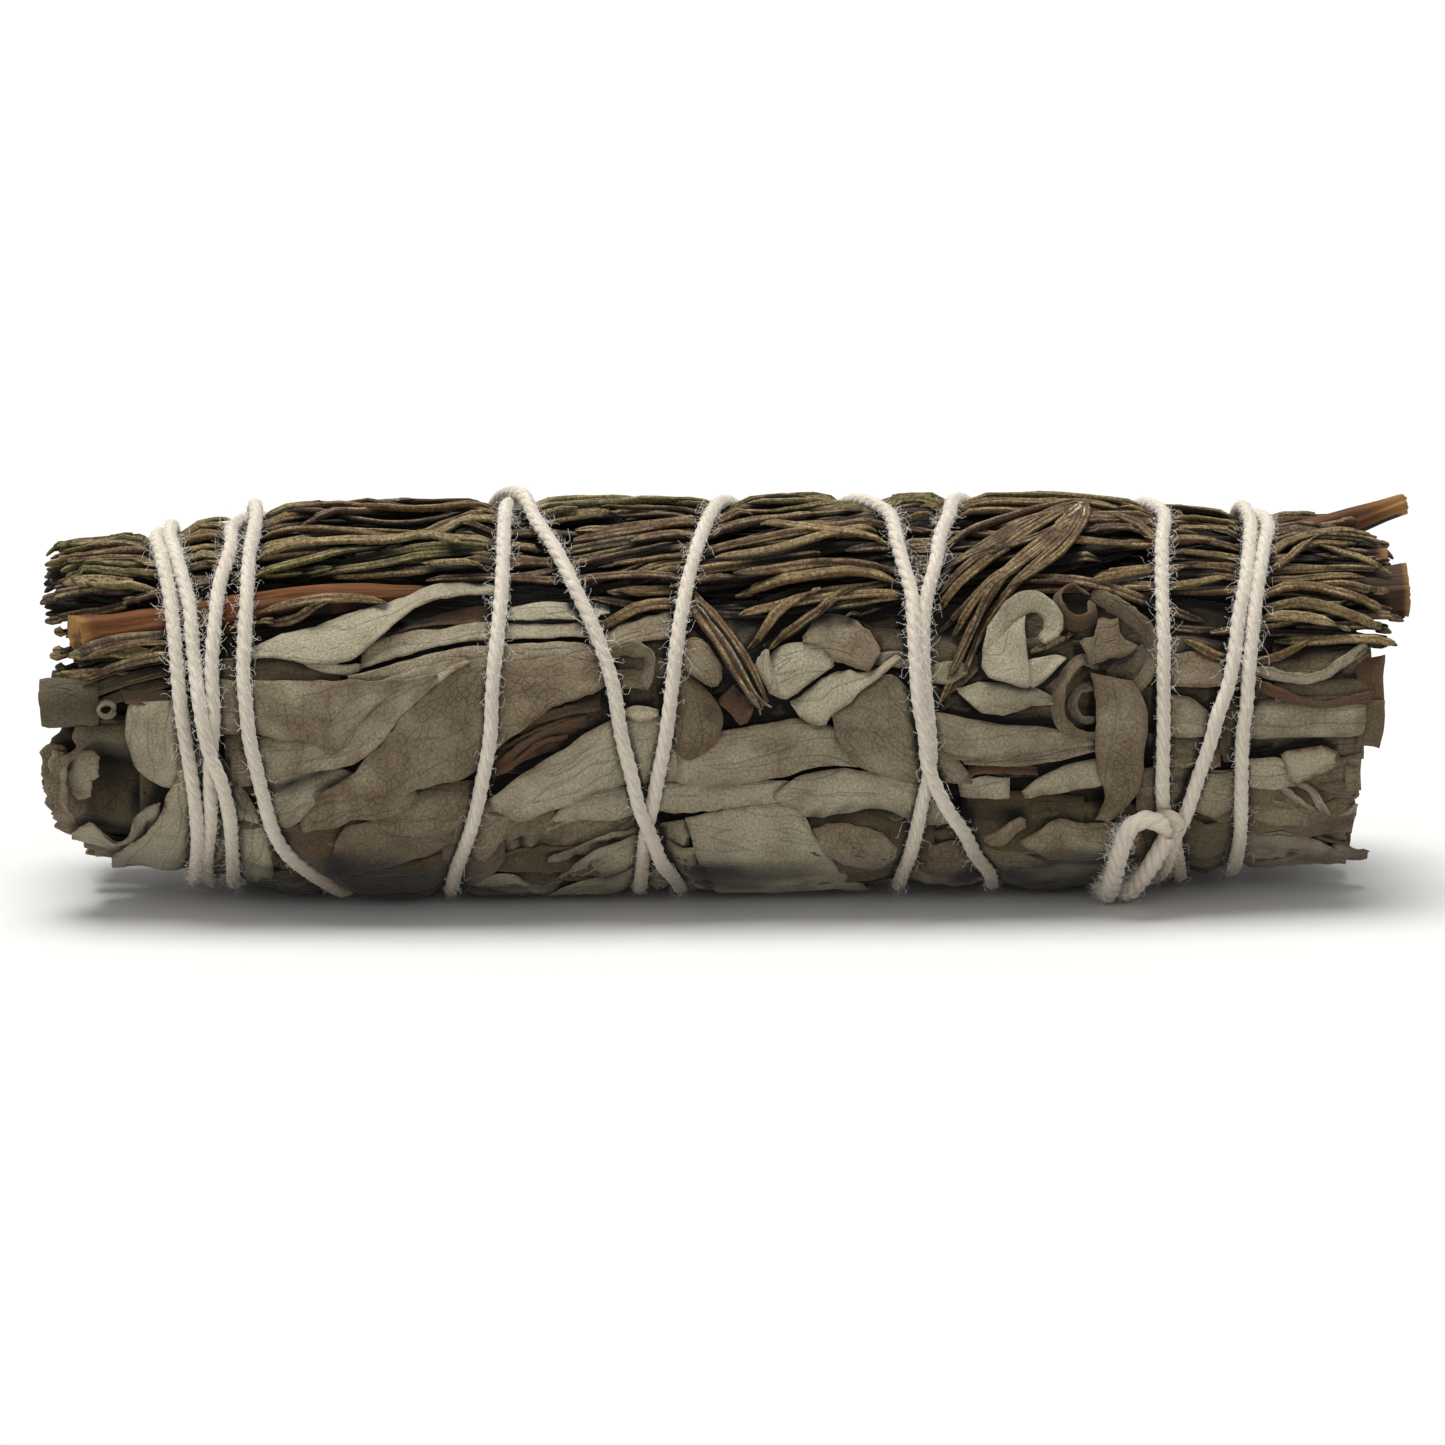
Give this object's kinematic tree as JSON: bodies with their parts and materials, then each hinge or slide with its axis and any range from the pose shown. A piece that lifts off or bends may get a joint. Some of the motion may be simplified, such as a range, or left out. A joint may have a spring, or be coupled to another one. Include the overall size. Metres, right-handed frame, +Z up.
{
  "type": "sage bunch",
  "caption": "Dried white sage leaves and rosemary sprigs laid lengthwise and bound criss-cross with a cotton string, lying on its side.",
  "frame": {"origin": "centre of the underside: midway along the bunch, under its axis, on the surface that it lies on", "axes": "+X along the bunch towards the end with the two thick stems, -Y its front with the knot, +Z up"},
  "size_m": [0.102, 0.0327, 0.0306],
  "materials": {
    "sage_leaves": null,
    "rosemary_needles": "dried rosemary needles, matt, with rolled edges",
    "rosemary_wood": "woody herb stem with thin bark",
    "cotton_string": "three-ply twisted cotton, unbleached"
  },
  "bodies": {
    "root": {"cotton_string": "cotton_string", "rosemary_stem_left": "rosemary_wood", "rosemary_stem_right": "rosemary_wood", "rosemary_stem_right_small": "rosemary_wood", "rosemary_stem_top": "rosemary_wood", "rosemary_needle_pair": "rosemary_needles", "sage_leaves_front": "sage_leaves", "sage_leaves_under": "sage_leaves", "sage_leaves_back": "sage_leaves", "rosemary_sprigs_front": "rosemary_needles", "rosemary_sprigs_top": "rosemary_needles"}
  },
  "joints": []
}
